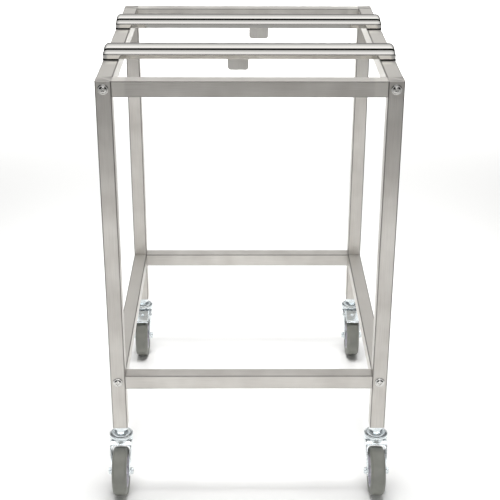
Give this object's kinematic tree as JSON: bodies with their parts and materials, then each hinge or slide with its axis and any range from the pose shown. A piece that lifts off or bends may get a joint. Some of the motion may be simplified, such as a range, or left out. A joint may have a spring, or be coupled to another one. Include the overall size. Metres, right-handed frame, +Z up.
{
  "type": "rolling equipment stand",
  "caption": "Open square-tube rolling stand with two polished support bars across its top and swivel casters, the rear ones with brake pedals.",
  "frame": {"origin": "on the floor, under the middle of the stand's bounding box with every caster trailing to the front", "axes": "+X to the right seen from the front, +Y to the back, +Z up"},
  "size_m": [0.576, 0.689, 0.8931],
  "materials": {
    "brushed_stainless": "brushed along the tube",
    "polished_stainless": "mirror polished stainless",
    "satin_stainless": "satin",
    "screw_steel": "bright plated screw and cup washer",
    "pad_rubber": "matt black",
    "socket_steel": "plain machined",
    "zinc_plate": "bright blue zinc plate",
    "hub_plastic": "moulded light grey",
    "tyre_rubber": "soft grey thermoplastic rubber"
  },
  "bodies": {
    "root": {"front_left_leg": "brushed_stainless", "front_right_leg": "brushed_stainless", "rear_left_leg": "brushed_stainless", "rear_right_leg": "brushed_stainless", "top_front_rail": "brushed_stainless", "top_rear_rail": "brushed_stainless", "top_left_rail": "brushed_stainless", "top_right_rail": "brushed_stainless", "lower_front_rail": "brushed_stainless", "lower_rear_rail": "brushed_stainless", "lower_left_rail": "brushed_stainless", "lower_right_rail": "brushed_stainless", "front_left_top_screw": "screw_steel", "front_left_lower_screw": "screw_steel", "front_right_top_screw": "screw_steel", "front_right_lower_screw": "screw_steel", "rear_left_top_screw": "screw_steel", "rear_left_lower_screw": "screw_steel", "rear_right_top_screw": "screw_steel", "rear_right_lower_screw": "screw_steel", "front_support_bar": "polished_stainless", "rear_support_bar": "polished_stainless", "front_bar_lug": "satin_stainless", "rear_bar_lug": "satin_stainless", "front_bar_left_pad": "pad_rubber", "front_bar_right_pad": "pad_rubber", "rear_bar_left_pad": "pad_rubber", "rear_bar_right_pad": "pad_rubber", "front_left_leg_socket": "socket_steel", "front_right_leg_socket": "socket_steel", "rear_left_leg_socket": "socket_steel", "rear_right_leg_socket": "socket_steel", "front_left_caster_stem": "zinc_plate", "front_right_caster_stem": "zinc_plate", "rear_left_caster_stem": "zinc_plate", "rear_right_caster_stem": "zinc_plate", "front_left_upper_race": "zinc_plate", "front_right_upper_race": "zinc_plate", "rear_left_upper_race": "zinc_plate", "rear_right_upper_race": "zinc_plate"},
    "front_left_swivel": {"front_left_fork": "zinc_plate", "front_left_axle_bolt": "zinc_plate"},
    "front_left_wheel": {"front_left_hub": "hub_plastic", "front_left_tyre": "tyre_rubber"},
    "front_right_swivel": {"front_right_fork": "zinc_plate", "front_right_axle_bolt": "zinc_plate"},
    "front_right_wheel": {"front_right_hub": "hub_plastic", "front_right_tyre": "tyre_rubber"},
    "rear_left_swivel": {"rear_left_fork": "zinc_plate", "rear_left_axle_bolt": "zinc_plate", "rear_left_pedal_pin": "zinc_plate"},
    "rear_left_wheel": {"rear_left_hub": "hub_plastic", "rear_left_tyre": "tyre_rubber"},
    "rear_left_pedal": {"rear_left_brake_pedal": "zinc_plate"},
    "rear_right_swivel": {"rear_right_fork": "zinc_plate", "rear_right_axle_bolt": "zinc_plate", "rear_right_pedal_pin": "zinc_plate"},
    "rear_right_wheel": {"rear_right_hub": "hub_plastic", "rear_right_tyre": "tyre_rubber"},
    "rear_right_pedal": {"rear_right_brake_pedal": "zinc_plate"}
  },
  "joints": [
    {"name": "front_left_swivel", "type": "hinge", "parent": "root", "child": "front_left_swivel", "pos_m": [-0.2625, -0.2595, 0.12], "axis": [0, 0, 1], "continuous": true},
    {"name": "front_left_wheel_spin", "type": "hinge", "parent": "front_left_swivel", "child": "front_left_wheel", "pos_m": [-0.2625, -0.2945, 0.05], "axis": [1, 0, 0], "continuous": true},
    {"name": "front_right_swivel", "type": "hinge", "parent": "root", "child": "front_right_swivel", "pos_m": [0.2625, -0.2595, 0.12], "axis": [0, 0, 1], "continuous": true},
    {"name": "front_right_wheel_spin", "type": "hinge", "parent": "front_right_swivel", "child": "front_right_wheel", "pos_m": [0.2625, -0.2945, 0.05], "axis": [1, 0, 0], "continuous": true},
    {"name": "rear_left_swivel", "type": "hinge", "parent": "root", "child": "rear_left_swivel", "pos_m": [-0.2625, 0.3205, 0.12], "axis": [0, 0, 1], "continuous": true},
    {"name": "rear_left_wheel_spin", "type": "hinge", "parent": "rear_left_swivel", "child": "rear_left_wheel", "pos_m": [-0.2625, 0.2855, 0.05], "axis": [1, 0, 0], "continuous": true},
    {"name": "rear_left_pedal_lift", "type": "hinge", "parent": "rear_left_swivel", "child": "rear_left_pedal", "pos_m": [-0.2625, 0.2905, 0.105], "axis": [-1, 0, 0], "range_deg": [0, 16]},
    {"name": "rear_right_swivel", "type": "hinge", "parent": "root", "child": "rear_right_swivel", "pos_m": [0.2625, 0.3205, 0.12], "axis": [0, 0, 1], "continuous": true},
    {"name": "rear_right_wheel_spin", "type": "hinge", "parent": "rear_right_swivel", "child": "rear_right_wheel", "pos_m": [0.2625, 0.2855, 0.05], "axis": [1, 0, 0], "continuous": true},
    {"name": "rear_right_pedal_lift", "type": "hinge", "parent": "rear_right_swivel", "child": "rear_right_pedal", "pos_m": [0.2625, 0.2905, 0.105], "axis": [-1, 0, 0], "range_deg": [0, 16]}
  ]
}
